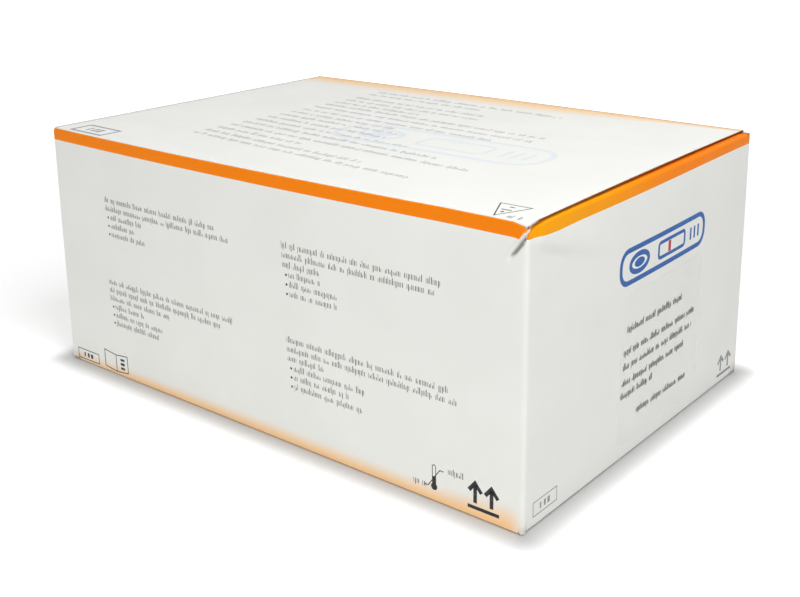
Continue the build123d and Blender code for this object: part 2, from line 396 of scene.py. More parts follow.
ring_place, ring_out, ring_u, ring_top = walk_round()
ring_foot = np.where(np.abs(ring_out[:, 1]) > 0.999, FOOT_FOLD, BOARD + FOOT_FOLD)
ring_foot[np.abs(ring_out).min(1) > 0.001] = FOLD_FOOT
share = stops(0, 0.04, 0.8, FINE / HEIGHT, 1.0)
rise = ring_foot[:, None] + np.outer(ring_top - ring_foot, share)
places, outs, around = (np.repeat(part[:, None], len(share), 1) for part in (ring_place, ring_out, ring_u))
wall_points = set_off(places, outs, around, rise, rise)
around[-1] += U_ROUND               # the last column lies on the first, and on the blank's far edge
wall_patch = (wall_points, np.stack([around, rise], -1))
print("walls:", wall_points.shape[:2], "points, round", round(U_ROUND / MM), "mm")

# %% [markdown]
# ## The flaps
# A flap starts on its wall's last row of points, bends round a quarter circle, and runs on flat. Its
# outline is two functions of the distance from the fold, the low and the high side, so the same grid
# makes the tapered dust flaps and the hooked bottom flaps. The order of the rows keeps the printed face
# outwards.

# %% Dust flaps and bottom flaps
DUST_LENGTH = 46 * MM
DUST_FRONT = HALF_Y - 4.5 * MM      # the flap's front edge, clear of the tuck flap
DUST_TAPER = 9 * MM
DUST_CORNER = 6 * MM
DUST_STEP = (0.6 * MM, 3.6 * MM)    # where the front side steps in
SEAM = 0.3 * MM                     # half the gap between the long bottom flaps
HOOK = 12 * MM
END_FLAP_LENGTH = 60 * MM
END_FLAP_TAPER = 10 * MM
BEND_STEPS = 6


def corner_loss(d, length, radius):
    """How much a side steps in at distance d, where a flap of that length has a round corner."""
    past = np.clip(d - (length - radius), 0.0, radius)
    return radius - np.sqrt(radius ** 2 - past ** 2)


def dust_sides(d):
    """The dust flap's front and back edges, as Y, at distance d from the fold."""
    loss = corner_loss(d, DUST_LENGTH, DUST_CORNER)
    step = np.clip((d - DUST_STEP[0]) / (DUST_STEP[1] - DUST_STEP[0]), 0.0, 1.0)
    front = -FLAP_Y + (FLAP_Y - DUST_FRONT) * step
    return front + loss, FLAP_Y - DUST_TAPER * d / DUST_LENGTH - loss


def end_bottom_sides(d):
    """The end bottom flap's two edges, which taper evenly."""
    far = END_FLAP_Y - END_FLAP_TAPER * d / END_FLAP_LENGTH
    return -far, far


def end_flap(number, half, fold, height, sides, length, top):
    """A flap of an end wall: top is 1 for the dust flap above and -1 for the bottom flap. First the bend,
    whose points keep their places along the fold, then the flat, whose points are shared out between the
    two sides."""
    out, along, far, ts = WALLS[number]
    out, along = np.array(out, float), np.array(along, float)
    t = ts[(ts > -half - 1e-9) & (ts < half + 1e-9)]
    turn = np.linspace(0, QUARTER, BEND_STEPS + 1)
    d = stops(0, 0.3 * MM, DUST_STEP[0], MM, DUST_STEP[1], COARSE, length - DUST_CORNER, 0.5 * MM, length)[1:]
    low, high = sides(d) if along[1] > 0 else [-side for side in sides(d)[::-1]]
    across = (t + half) / (2 * half)
    place_t = np.concatenate([np.repeat(t[:, None], len(turn), 1), low + across[:, None] * (high - low)], 1)
    reach = np.concatenate([far - fold + fold * np.cos(turn), far - fold - d])
    level = np.concatenate([height - top * fold * (1 - np.sin(turn)), np.full(len(d), height)])
    v = height - top * fold + top * np.concatenate([fold * turn, fold * QUARTER + d])
    reach, level, v = (np.repeat(row[None], len(t), 0) for row in (reach, level, v))
    place = reach[..., None] * out + place_t[..., None] * along
    u = MIDDLES[number] + place_t
    points = set_off(place, np.broadcast_to(out, place.shape), u, v, level)
    if top < 0:
        points, u, v = points[:, ::-1], u[:, ::-1], v[:, ::-1]
    return points, np.stack([u, v], -1)


def hooked_edge(x, side):
    """The long bottom flaps' meeting line: HOOK to the back on the left, HOOK to the front on the
    right."""
    return side * SEAM - HOOK * np.clip(x / HOOK_RUN, -1.0, 1.0)


def long_flap(number, side):
    """A long bottom flap: the bend under the wall, then the flat, up to its hooked edge."""
    out, along, far, ts = WALLS[number]
    t = ts[(ts > -LONG_FLAP_X - 1e-9) & (ts < LONG_FLAP_X + 1e-9)]
    x = t * along[0]
    turn = np.linspace(0, QUARTER, BEND_STEPS + 1)
    far_in = far - FOOT_FOLD
    depth = stops(0, 0.08, 1)[1:]
    bend_y = np.repeat((side * (far_in + FOOT_FOLD * np.cos(turn)))[None], len(t), 0)
    flat_y = side * far_in + depth * (hooked_edge(x, side)[:, None] - side * far_in)
    y = np.concatenate([bend_y, flat_y], 1)
    z = np.concatenate([FOOT_FOLD * (1 - np.sin(turn)), np.zeros(len(depth))])
    z = np.repeat(z[None], len(t), 0)
    v = np.where(z > 0, z, side * y - far_in)
    u = MIDDLES[number] + np.repeat(t[:, None], y.shape[1], 1)
    place = np.stack([np.repeat(x[:, None], y.shape[1], 1), y], -1)
    points = set_off(place, np.broadcast_to(np.array(out, float), place.shape), u, np.maximum(v, 0.0), z)
    return points[:, ::-1], np.stack([u, v], -1)[:, ::-1]


flap_patches = [end_flap(n, FLAP_Y, TOP_FOLD, FLAP_TOP, dust_sides, DUST_LENGTH, 1) for n in (1, 3)]
flap_patches += [end_flap(n, END_FLAP_Y, FOOT_FOLD, BOARD, end_bottom_sides, END_FLAP_LENGTH, -1)
                 for n in (1, 3)]
flap_patches += [long_flap(0, -1), long_flap(2, 1)]

# %% [markdown]
# ## The glue tab
# Inside the back wall at the left end, a tapered strip holds the blank closed. It shows when the lid is
# open.

# %% Glue tab
TAB_START = 1.2 * MM                # from the left end wall's inside
TAB_WIDTH = 14 * MM
TAB_LOW = 5 * MM
TAB_HIGH = BACK_TOP - 4 * MM
TAB_TAPER = 5 * MM


def glue_tab():
    """A flat grid against the back wall, whose low and high edges close in over its width."""
    a = stops(0, 0.1, 1)
    x = -HALF_X + BOARD + TAB_START + TAB_WIDTH * a
    low, high = TAB_LOW + TAB_TAPER * a, TAB_HIGH - TAB_TAPER * a
    b = np.linspace(0, 1, 24)
    z = low[:, None] + b * (high - low)[:, None]
    x = np.repeat(x[:, None], len(b), 1)
    u = U_BACK - x
    outward, _ = give(u, z)
    y = HALF_Y - 2 * BOARD + outward
    return np.stack([x, y, z], -1), np.stack([u, z], -1)


shell = sheet_from("carton_shell", [wall_patch, glue_tab()] + flap_patches)
thicken(shell, BOARD, inside=1, rim=2)
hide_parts("carton_body")
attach(shell, "root")
print("shell:", len(shell.data.polygons), "quads")

# %% [markdown]
# ## The lid
# Seen from the side the lid is one path: flat from the hinge crease to the front, round the front fold,
# and down the tuck flap, which leans in so that it swings clear of the front wall. The grid repeats that
# path for each place across. Near the front it bows out with the wall, and its near corner is pressed
# down.

# %% Lid
HINGE_Y = HALF_Y - LID_FOLD         # where the lid's flat panel starts
FRONT_FOLD_Y = lid_low.y + LID_FOLD
FRONT_FAR = -FRONT_FOLD_Y
TUCK_LEAN = math.radians(6)
TUCK_LENGTH = (HEIGHT - LID_FOLD - lid_low.z) / math.cos(TUCK_LEAN)
TUCK_X = HALF_X - BOARD - 1.6 * MM
TUCK_CORNER = 9 * MM
PANEL = HINGE_Y - FRONT_FOLD_Y      # depth of the flat panel
LID_ARC = LID_FOLD * (QUARTER + TUCK_LEAN)
LID_TOTAL = PANEL + LID_ARC + TUCK_LENGTH
LID_FINE = 0.6 * MM
LID_TAPER = (-1.3 * MM, 1.2 * MM)   # how much wider its panel is at the back and at the front, on each side
LID_SPRING = 0.35 * MM              # its right edge stands up this much, half way along
LID_SAG = 0.2 * MM
LID_PRESSED = 0.7 * MM              # the near corner is pressed down this much


def lid_give(x, y):
    """Shifts of the lid in X, Y and Z: bows at both long edges, a skew, a raised edge and the pressed
    corner."""
    forward, backward = smooth(-y / FRONT_FAR), smooth(y / HINGE_Y)
    dy = BACK_BOW * arch(x, STRAIGHT_X) * backward - FRONT_BOW * front_arch(x) * forward
    forward_share = np.clip((HINGE_Y - y) / PANEL, 0.0, 1.0)
    taper = LID_TAPER[0] + (LID_TAPER[1] - LID_TAPER[0]) * forward_share
    near = hump(x, y, (94.0, -65.5), (3.5, 1.6))
    spring = LID_SPRING * smooth((x / HALF_X - 0.8) / 0.2) * arch(y, HINGE_Y)
    sag = LID_SAG * arch(x, HALF_X) * arch(y, FRONT_FAR)
    return taper * x / HALF_X + 0.3 * MM * near, dy, spring - sag - LID_PRESSED * near


def lid_path(t):
    """(y, z) of the lid's outer face at distance t from the hinge crease along the board."""
    turn = QUARTER + np.clip((t - PANEL) / LID_FOLD, 0.0, QUARTER + TUCK_LEAN)
    past = np.clip(t - PANEL - LID_ARC, 0.0, None)
    y = HINGE_Y - np.minimum(t, PANEL) + LID_FOLD * np.cos(turn) + past * math.sin(TUCK_LEAN)
    z = HEIGHT - LID_FOLD + LID_FOLD * np.sin(turn) - past * math.cos(TUCK_LEAN)
    return y, z


def lid_half_width(t):
    """Half the lid's width: the panel's, a short slant in to the tuck flap, and round corners at its free
    edge."""
    step = smooth((t - PANEL - 0.3 * MM) / (LID_ARC - 0.3 * MM))
    return LID_X - (LID_X - TUCK_X) * step - corner_loss(t, LID_TOTAL, TUCK_CORNER)


def lid_grid():
    """The whole lid: columns share the width out, crowding to the knocked corner; rows follow the side
    view."""
    across = stops(-1, COARSE / LID_X, 0.84, LID_FINE / LID_X, 1)
    t = stops(0, COARSE, PANEL - DENT_REACH, LID_FINE, PANEL, LID_ARC / 8, PANEL + LID_ARC, 2 * MM,
              LID_TOTAL - TUCK_CORNER, LID_FINE, LID_TOTAL)[::-1]
    y, z = lid_path(t)
    x = across[:, None] * lid_half_width(t)
    y, z = np.repeat(y[None], len(across), 0), np.repeat(z[None], len(across), 0)
    dx, dy, dz = lid_give(x, y)
    return np.stack([x + dx, y + dy, z + dz], -1), np.stack([x, np.repeat(t[None], len(across), 0)], -1)


lid_points, lid_flat = lid_grid()
lid_panel = sheet_from("lid_panel", [(lid_points, lid_flat)])
thicken(lid_panel, BOARD, inside=1, rim=2)
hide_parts("lid")
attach(lid_panel, "lid")
print("lid:", len(lid_panel.data.polygons), "quads")

# %% [markdown]
# ## The hinge crease
# The lid and the back wall are one sheet on the real carton, bent at a scored line. The strip between
# them is a piece of its own, closed all round. On the real carton it bends as the lid opens: its wall
# side stays, its lid side turns.

# %% Hinge crease
CREASE_STEPS = 12


def crease_strip():
    """A quarter ring of board along X: the outer arc, then the inner one back, for each place along the
    crease."""
    turn = np.linspace(0, QUARTER, CREASE_STEPS + 1)
    ray = np.stack([np.cos(turn), np.sin(turn)], -1)
    ring = (HINGE_Y, BACK_TOP) + np.concatenate([LID_FOLD * ray, (LID_FOLD - BOARD) * ray[::-1]])
    x = stops(-LID_X, COARSE, LID_X)
    points = np.zeros((len(x), len(ring), 3))
    points[..., 0] = (x * (1 + LID_TAPER[0] / HALF_X))[:, None]
    points[..., 1:] = ring
    points[..., 1] += (BACK_BOW * arch(x, STRAIGHT_X))[:, None]
    count = len(ring)
    i, j = np.meshgrid(np.arange(len(x) - 1), np.arange(count), indexing="ij")
    a, b = i * count + j, i * count + (j + 1) % count
    sides = np.stack([a, b, b + count, a + count], -1).reshape(-1, 4)
    last = (len(x) - 1) * count
    ends = [list(range(count))[::-1], [last + k for k in range(count)]]
    back = LID_FOLD * (turn - QUARTER)
    flat = np.stack([np.repeat(x, count), np.tile(np.concatenate([back, back[::-1]]), len(x))], -1)
    kind = np.where(j < CREASE_STEPS, 0, np.where((j == CREASE_STEPS) | (j == count - 1), 2, 1)).ravel()
    return points.reshape(-1, 3), [list(f) for f in sides] + ends, flat, list(kind) + [2, 2]


crease_points, crease_faces, crease_flat, crease_kind = crease_strip()
crease = mesh_from("lid_crease", crease_points, crease_faces, crease_flat)
fix = bmesh.new()
fix.from_mesh(crease.data)
bmesh.ops.recalc_face_normals(fix, faces=fix.faces)
fix.to_mesh(crease.data)
fix.free()
crease.data.shade_smooth()
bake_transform(crease)
print("crease:", len(crease.data.polygons), "faces")

# %% [markdown]
# ## The label
# A clear film label lies on the right end wall. It is a grid whose sides step in at the top and bottom
# rows to make the round corners, and it is laid on the bulged wall with the same functions as the wall
# itself.

# %% Label film
LABEL_FILM = 0.08 * MM
LABEL_GLUE = 0.02 * MM              # keeps the film's inner face just off the board
LABEL_CORNER = 4 * MM
LABEL_STEP = 0.4 * MM


def on_wall(number):
    """A function that gives the place of (t, z) on one wall, lifted off the board. t runs along the
    wall."""
    out, along = (np.array(way, float) for way in WALLS[number][:2])

    def surface(t, z, lift):
        t, z = np.asarray(t, float), np.asarray(z, float)
        place = WALLS[number][2] * out + t[..., None] * along
        return set_off(place, np.broadcast_to(out, place.shape), MIDDLES[number] + t, z, z, lift)
    return surface


on_front, on_end = on_wall(0), on_wall(1)


def on_lid(x, y, lift):
    """The place of (x, y) on the lid's panel, lifted off the board."""
    x, y = np.asarray(x, float), np.asarray(y, float)
    dx, dy, dz = lid_give(x, y)
    return np.stack([x + dx, y + dy, HEIGHT + dz + lift], -1)


def label_film():
    """Rows up the label; at each height the columns are shared out between its two sides."""
    height = label_high.z - label_low.z
    rows = stops(0, LABEL_STEP, LABEL_CORNER, COARSE, height - LABEL_CORNER, LABEL_STEP, height)
    loss = corner_loss(rows, height, LABEL_CORNER) + corner_loss(height - rows, height, LABEL_CORNER)
    across = np.linspace(0, 1, 24)
    y = label_low.y + loss + across[:, None] * (label_high.y - label_low.y - 2 * loss)
    z = np.repeat((label_low.z + rows)[None], len(across), 0)
    return on_end(y, z, LABEL_FILM + LABEL_GLUE), np.stack([y, z], -1)


label = sheet_from("label_film", [label_film()])
thicken(label, LABEL_FILM, rim=1)
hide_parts("address_label")
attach(label, "root")
print("label:", len(label.data.polygons), "quads")

# %% [markdown]
# ## Ink
# Ink lies on the board as a film far thinner than the board itself. The small print is made as rows of
# short upright ticks in groups, which read as fine print from a step away. Beside them stand a few plain
# signs and a drawing of a test strip. Each mark is a flat shape made in the wall's own two directions,
# cut into pieces no longer than 3 mm, and then laid on the bowed wall.

# %% Helpers for flat shapes
INK = 0.02 * MM


def box_quads(left, low, right, high, slant=0.0):
    """Upright rectangles as an (n, 4, 2) array; slant shifts their tops sideways by that share of their
    height."""
    left, low, right, high = np.broadcast_arrays(*map(np.asarray, (left, low, right, high)))
    lean = slant * (high - low)
    corners = ((left, low), (right, low), (right + lean, high), (left + lean, high))
    return np.stack([np.stack(corner, -1) for corner in corners], -2).reshape(-1, 4, 2)


def ribbon(path, width, closed=False):
    """Quads along a path of (n, 2) points: each point is pushed to both sides along the mean of its two
    normals."""
    path = np.asarray(path, float)
    if closed:
        before, after = np.roll(path, 1, 0), np.roll(path, -1, 0)
    else:
        before = np.concatenate([2 * path[:1] - path[1:2], path[:-1]])
        after = np.concatenate([path[1:], 2 * path[-1:] - path[-2:-1]])
    into, out = path - before, after - path
    into /= np.linalg.norm(into, axis=1)[:, None]
    out /= np.linalg.norm(out, axis=1)[:, None]
    normal = np.stack([-(into + out)[:, 1], (into + out)[:, 0]], -1)
    normal /= np.linalg.norm(normal, axis=1)[:, None]
    reach = 1 / np.clip(np.abs(normal[:, 0] * -into[:, 1] + normal[:, 1] * into[:, 0]), 0.4, 1)
    side = normal * (reach * width / 2)[:, None]
    right, left = path - side, path + side
    quads = np.stack([right[:-1], right[1:], left[1:], left[:-1]], 1)
    if closed:
        quads = np.concatenate([quads, [[right[-1], right[0], left[0], left[-1]]]])
    return quads


def ring_path(centre, radius, start=0.0, end=360.0, steps=32):
    """Points on a circle or an ellipse from one angle to another, in degrees."""
    turn = np.radians(np.linspace(start, end, steps + 1))
    return np.array(centre) + np.stack([np.cos(turn), np.sin(turn)], -1) * np.array(radius)


def disc(centre, radius, steps=24):
    """A filled circle or ellipse as thin quads from its lower half to its upper half."""
    c = np.cos(np.linspace(np.pi, 0, steps + 1))
    s = np.sqrt(np.clip(1 - c ** 2, 0.0004, 1))
    x = centre[0] + np.atleast_1d(radius)[0] * c
    rise = np.atleast_1d(radius)[-1] * s
    low, high = centre[1] - rise, centre[1] + rise
    return np.stack([np.stack([x[:-1], low[:-1]], -1), np.stack([x[1:], low[1:]], -1),
                     np.stack([x[1:], high[1:]], -1), np.stack([x[:-1], high[:-1]], -1)], 1)


def round_box(left, low, right, high, radius, steps=6):
    """The outline of a rectangle with round corners, counter-clockwise."""
    centres = [(right - radius, low + radius, -90), (right - radius, high - radius, 0),
               (left + radius, high - radius, 90), (left + radius, low + radius, 180)]
    return np.concatenate([ring_path((x, y), radius, a, a + 90, steps) for x, y, a in centres])


def divide(quads, longest=3.0):
    """Cuts long quads into shorter ones, so that they can follow a bowed wall: each side into equal
    steps."""
    wide = np.ceil(np.linalg.norm(quads[:, 1] - quads[:, 0], axis=1) / longest).astype(int)
    tall = np.ceil(np.linalg.norm(quads[:, 3] - quads[:, 0], axis=1) / longest).astype(int)
    parts = []
    for n, m in sorted(set(zip(wide, tall))):
        group = quads[(wide == n) & (tall == m)]
        s, t = np.linspace(0, 1, n + 1)[:, None], np.linspace(0, 1, m + 1)[:, None]
        low = group[:, None, 0] + (group[:, None, 1] - group[:, None, 0]) * s
        high = group[:, None, 3] + (group[:, None, 2] - group[:, None, 3]) * s
        net = low[:, :, None] + (high - low)[:, :, None] * t
        parts.append(np.stack([net[:, :-1, :-1], net[:, 1:, :-1], net[:, 1:, 1:], net[:, :-1, 1:]], 3))
    return np.concatenate([part.reshape(-1, 4, 2) for part in parts])


def lay_ink(name, quads, surface, lift, material, body="root"):
    """One piece of ink from (n, 4, 2) flat quads in millimetres, laid on a surface and given its
    thickness."""
    flat = divide(np.asarray(quads, float)) * MM
    points = surface(flat[..., 0].ravel(), flat[..., 1].ravel(), lift)
    faces = np.arange(len(points)).reshape(-1, 4)
    piece = mesh_from(name, points, faces, flat.reshape(-1, 2))
    weld(piece)
    thicken(piece, 1.5 * INK)
    piece.data.materials.append(material)
    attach(piece, body)
    print(name + ":", len(faces), "quads")
    return piece

# %% [markdown]
# ### Rows of ticks
# A row is made of groups, and a group of upright ticks that stand close together. Most ticks are as tall
# as a small letter, some reach higher or lower, and thick and thin ones take turns, which gives the grey
# tone of fine print. The draws come from a seeded generator, so that the rows are the same each time.

# %% Rows of ticks
TICK_STEP = 0.40                    # from one tick to the next, over the height of a low tick
TICK_WIDTHS = (0.10, 0.17)
TALL_SHARE, DEEP_SHARE, SHORT_SHARE = 0.16, 0.08, 0.2
GROUP_SPACE = 0.75


def tick_row(draw, start, base, length, height):
    """Quads of one row from start, standing on base: groups of 3 to 16 ticks until length is used up."""
    count = int(length / (TICK_STEP * height)) + 1
    breaks = np.cumsum(draw.integers(3, 17, count))
    number = np.arange(count)
    group = np.searchsorted(breaks, number, side="right")
    x = start + (number * TICK_STEP + group * GROUP_SPACE + draw.uniform(-0.05, 0.05, count)) * height
    kind = draw.uniform(0, 1, count)
    top = np.where(kind < TALL_SHARE, 1.45, np.where(kind > 1 - SHORT_SHARE, 0.62, 1.0)) * height
    foot = np.where((kind > TALL_SHARE) & (kind < TALL_SHARE + DEEP_SHARE), -0.4, 0.0) * height
    width = np.where(number % 2 == 0, TICK_WIDTHS[0], TICK_WIDTHS[1]) * height
    kept = x < start + length
    return box_quads(x, base + foot, x + width, base + top)[kept]


def tick_block(draw, left, top, lengths, height, pitch, dotted=()):
    """Rows under each other. A row whose number is in dotted starts with a dot and stands in."""
    parts = []
    for number, length in enumerate(lengths):
        base = top - number * pitch
        start = left
        if number in dotted:
            parts.append(disc((left + 1.2, base + 0.5 * height), 0.28 * height, 8))
            start = left + 1.2 + 0.8 * height
        parts.append(tick_row(draw, start, base, length, height))
    return np.concatenate(parts)

# %% [markdown]
# ### Plain signs
# The small signs are line drawings made of ribbons: a plate with bars, an open leaflet, a thermometer,
# two upright arrows on a line, a triangle with bars.

# %% Plain signs
def plate(left, low, width, height, line=0.28):
    """A thin frame with three bars in it."""
    bars = box_quads(left + width * np.array([0.28, 0.45, 0.6]), low + 0.28 * height,
                     left + width * np.array([0.34, 0.53, 0.7]), low + 0.72 * height)
    frame_path = [(left, low), (left + width, low), (left + width, low + height), (left, low + height)]
    return np.concatenate([ribbon(frame_path, line, True), bars])


def open_leaflet(left, low, width, height, line=0.3):
    """Two leaning pages that meet in the middle, with strokes on the right one."""
    mid, dip = left + width / 2, 0.1 * height
    pages = [(left, low + dip), (mid, low), (left + width, low + dip), (left + width, low + height),
             (mid, low + height - dip), (left, low + height)]
    parts = [ribbon(pages, line, True), ribbon([(mid, low), (mid, low + height - dip)], line)]
    parts.append(box_quads([mid + 0.19 * width] * 3, low + height * np.array([0.2, 0.42, 0.66]),
                           [mid + 0.36 * width] * 3, low + height * np.array([0.32, 0.56, 0.78])))
    return np.concatenate(parts)


def thermometer(x, low, height):
    """A tube with a bulb, filled to the middle, a leader line on each side and strokes at their ends."""
    bulb = (x, low + 0.14 * height)
    tube = ring_path((x, low + 0.93 * height), 0.075 * height, 0, 180, 8)
    tube = np.concatenate([[(tube[0, 0], bulb[1])], tube, [(tube[-1, 0], bulb[1])]])
    parts = [ribbon(tube, 0.22), disc(bulb, 0.14 * height),
             box_quads(x - 0.07 * height, bulb[1], x + 0.07 * height, low + 0.55 * height)]
    upper, lower = low + 0.86 * height, low + 0.12 * height
    parts.append(ribbon([(x, low + 0.5 * height), (x + 1.9, upper), (x + 3.2, upper)], 0.26))
    parts.append(ribbon([(x, low + 0.5 * height), (x - 2.0, lower), (x - 3.2, lower)], 0.26))
    return np.concatenate(parts)


def arrows(left, low, width, height, line=1.15):
    """Two arrows that point up, side by side on a bar."""
    parts = [box_quads(left, low, left + width, low + 0.13 * height)]
    for share in (0.24, 0.76):
        x = left + share * width
        parts.append(box_quads(x - line / 2, low + 0.24 * height, x + line / 2, low + 0.88 * height))
        head = [(x - 0.2 * width, low + 0.66 * height), (x, low + 0.97 * height),
                (x + 0.2 * width, low + 0.66 * height)]
        parts.append(ribbon(head, line))
    return np.concatenate(parts)


def corner_sign(left, low, width, height, line=0.35):
    """A triangle that stands on one corner, with a dot and two short bars in it."""
    corners = [(left, low + height), (left + width / 2, low), (left + width, low + height)]
    bars = box_quads(left + width * np.array([0.34, 0.42]), low + height * np.array([0.52, 0.78]),
                     left + width * np.array([0.66, 0.58]), low + height * np.array([0.57, 0.83]))
    dot = disc((left + width / 2, low + 0.36 * height), 0.5, 8)
    return np.concatenate([ribbon(corners[::-1], line, True), bars, dot])


def strip_drawing(left, low, width, height, line):
    """A test strip seen from above: a long round-ended frame, an oval well, a window and three ribs."""
    mid = low + height / 2
    parts = [ribbon(round_box(left, low, left + width, low + height, 0.42 * height), line, True)]
    well = ring_path((left + 0.2 * width, mid), (0.1 * width, 0.27 * height), 0, 360, 28)[:-1]
    parts.append(ribbon(well, line, True))
    parts.append(disc((left + 0.2 * width, mid), (0.055 * width, 0.14 * height)))
    window = (left + 0.42 * width, low + 0.26 * height, left + 0.74 * width, low + 0.74 * height)
    parts.append(ribbon(round_box(*window, 0.12 * height), 0.7 * line, True))
    ribs = left + np.array([0.81, 0.86, 0.91]) * width
    parts.append(box_quads(ribs, mid - 0.2 * height, ribs + 0.02 * width, mid + 0.2 * height))
    return np.concatenate(parts)


print("signs ready")

# %% [markdown]
# ## Materials
# Each finish is a Principled shader with a few nodes in front of it. The printed bands and fades are
# worked out from the blank's own coordinates, so they stay sharp at any distance and follow the folds. A
# small helper keeps the node calls short: every call returns the socket that the next call plugs in.

# %% Helper for node patterns
class Pattern:
    """Adds nodes to one material, or to the world. Numbers and sockets can both be given as inputs."""

    def __init__(self, owner, last="Principled BSDF", **plain):
        self.owner = owner
        owner.use_nodes = True
        self.tree = owner.node_tree
        self.shader = self.tree.nodes[last]
        for socket, value in plain.items():
            self.shader.inputs[socket.replace("_", " ")].default_value = value

    def node(self, kind, inputs=(), **settings):
        made = self.tree.nodes.new("ShaderNode" + kind)
        for key, value in settings.items():
            setattr(made, key, value)
        for key, value in dict(inputs).items():
            if isinstance(value, bpy.types.NodeSocket):
                self.tree.links.new(value, made.inputs[key])
            else:
                made.inputs[key].default_value = value
        return made

    def math(self, operation, a, b=0.0, c=0.0):
        return self.node("Math", {0: a, 1: b, 2: c}, operation=operation).outputs[0]

    def fade(self, value, start, end, low=0.0, high=1.0):
        """low where value is at start or before, high where it is at end or past, and a smooth step
        between."""
        ranged = {"Value": value, "From Min": start, "From Max": end, "To Min": low, "To Max": high}
        return self.node("MapRange", ranged, interpolation_type="SMOOTHSTEP").outputs["Result"]

    def mix(self, share, a, b):
        """Colour a where share is 0 and colour b where it is 1."""
        made = self.node("Mix", {"Factor": share}, data_type="RGBA")
        for key, value in ((6, a), (7, b)):
            if isinstance(value, bpy.types.NodeSocket):
                self.tree.links.new(value, made.inputs[key])
            else:
                made.inputs[key].default_value = (*value, 1.0)
        return made.outputs[2]

    def noise(self, place, scale, detail=2.0, roughness=0.5):
        """Noise around 0.5; scale is the number of lumps per metre."""
        inputs = {"Vector": place, "Scale": scale, "Detail": detail, "Roughness": roughness}
        return self.node("TexNoise", inputs).outputs["Fac"]

    def vector(self, operation, a, b=(0.0, 0.0, 0.0)):
        return self.node("VectorMath", {0: a, 1: b}, operation=operation).outputs

    def seen(self):
        """1 for rays that show a thing to the camera, straight, through film or in gloss, and 0 for its
        light."""
        rays = self.node("LightPath").outputs
        straight = self.math("MAXIMUM", rays["Is Camera Ray"], rays["Is Transmission Ray"])
        return self.math("MAXIMUM", straight, rays["Is Glossy Ray"])

    def place(self):
        return self.node("TexCoord").outputs["Object"]

    def blank(self):
        """u and v of the piece's own map, in metres along the blank."""
        split = self.node("SeparateXYZ", {0: self.node("UVMap", uv_map="blank").outputs[0]})
        return split.outputs[0], split.outputs[1]

    def bump(self, height, distance, strength=1.0, below=None):
        inputs = {"Height": height, "Distance": distance, "Strength": strength}
        if below is not None:
            inputs["Normal"] = below
        return self.node("Bump", inputs).outputs[0]

    def wire(self, **sockets):
        for name, value in sockets.items():
            self.tree.links.new(value, self.shader.inputs[name.replace("_", " ")])
        return self.owner


def finish_of(name, **plain):
    """A new material, ready for its pattern; plain values go on the shader's own sockets."""
    return Pattern(bpy.data.materials.new(name), **plain)

# %% [markdown]
# ### Printed board
# Folding carton board has a smooth clay coat that takes ink, with the fibres just felt through it. On the
# walls a stripe runs under the top edge all the way round, and the long walls have a soft glow of the
# same colour at their feet. Where the near corner was knocked, the print has cracked and the white core
# shows.

# %% Printed board for the walls
WHITE_COAT = (0.87, 0.875, 0.835)
CLOUDY_COAT = (0.845, 0.85, 0.81)
BARE_CORE = (0.84, 0.83, 0.80)
# painted shade: the colour of the dark line painted into the crease's groove
PAINTED_CREASE_SHADE = (0.36, 0.35, 0.33)
ORANGE = (0.97, 0.24, 0.004)
# painted light: a lighter, yellower copy of the stripe's orange, used on the end wall next to the knocked
# corner, where the board leans back and catches more light
LIT_ORANGE = (0.97, 0.38, 0.004)         # the stripe on the end wall, next to the knocked corner
PEACH = (0.96, 0.60, 0.28)
STRIPE_LOW = 79.05 * MM             # lower edge of the stripe
STRIPE_DIP = 0.50 * MM              # it hangs this much lower on the end wall, beside the knocked corner
DIP_START = 14 * MM                 # the dip is full this far from the corner
STRIPE_END = 86.0 * MM              # on the right dust flap the ink stops here, past the fold
LEFT_STRIPE_END = 82.0 * MM
PRINT_EDGE = 0.06 * MM
GLOW_REACH = (4.3 * MM, 5.6 * MM)   # height of the glow at the front wall's left end and at its middle,
GLOW_MORE = 3.5 * MM                # and what its right end adds
GLOW_EDGE = 3 * MM


def clay_coat(pattern, place):
    """The white coat before it is printed: faintly cloudy, because the fibres under it are."""
    return pattern.mix(pattern.fade(pattern.noise(place, 45.0, 3.0), 0.3, 0.7), WHITE_COAT, CLOUDY_COAT)


def board_surface(pattern, place, colour):
    """Adds what all coated board has: fibres felt through it, and satin gloss."""
    fibres = pattern.bump(pattern.noise(place, 900.0, 3.0, 0.6), 0.00004, 0.5)
    relief = pattern.bump(pattern.noise(place, 90.0, 2.0), 0.0005, 0.35, fibres)
    gloss = pattern.fade(pattern.noise(place, 160.0), 0.3, 0.7, 0.40, 0.50)
    return pattern.wire(Base_Color=colour, Roughness=gloss, Normal=relief)


def within(pattern, value, low, high, edge):
    """1 where value lies between low and high, 0 outside, with edges of the given width."""
    return pattern.math("MULTIPLY", pattern.fade(value, low - edge, low + edge),
                        pattern.fade(value, high - edge, high + edge, 1.0, 0.0))


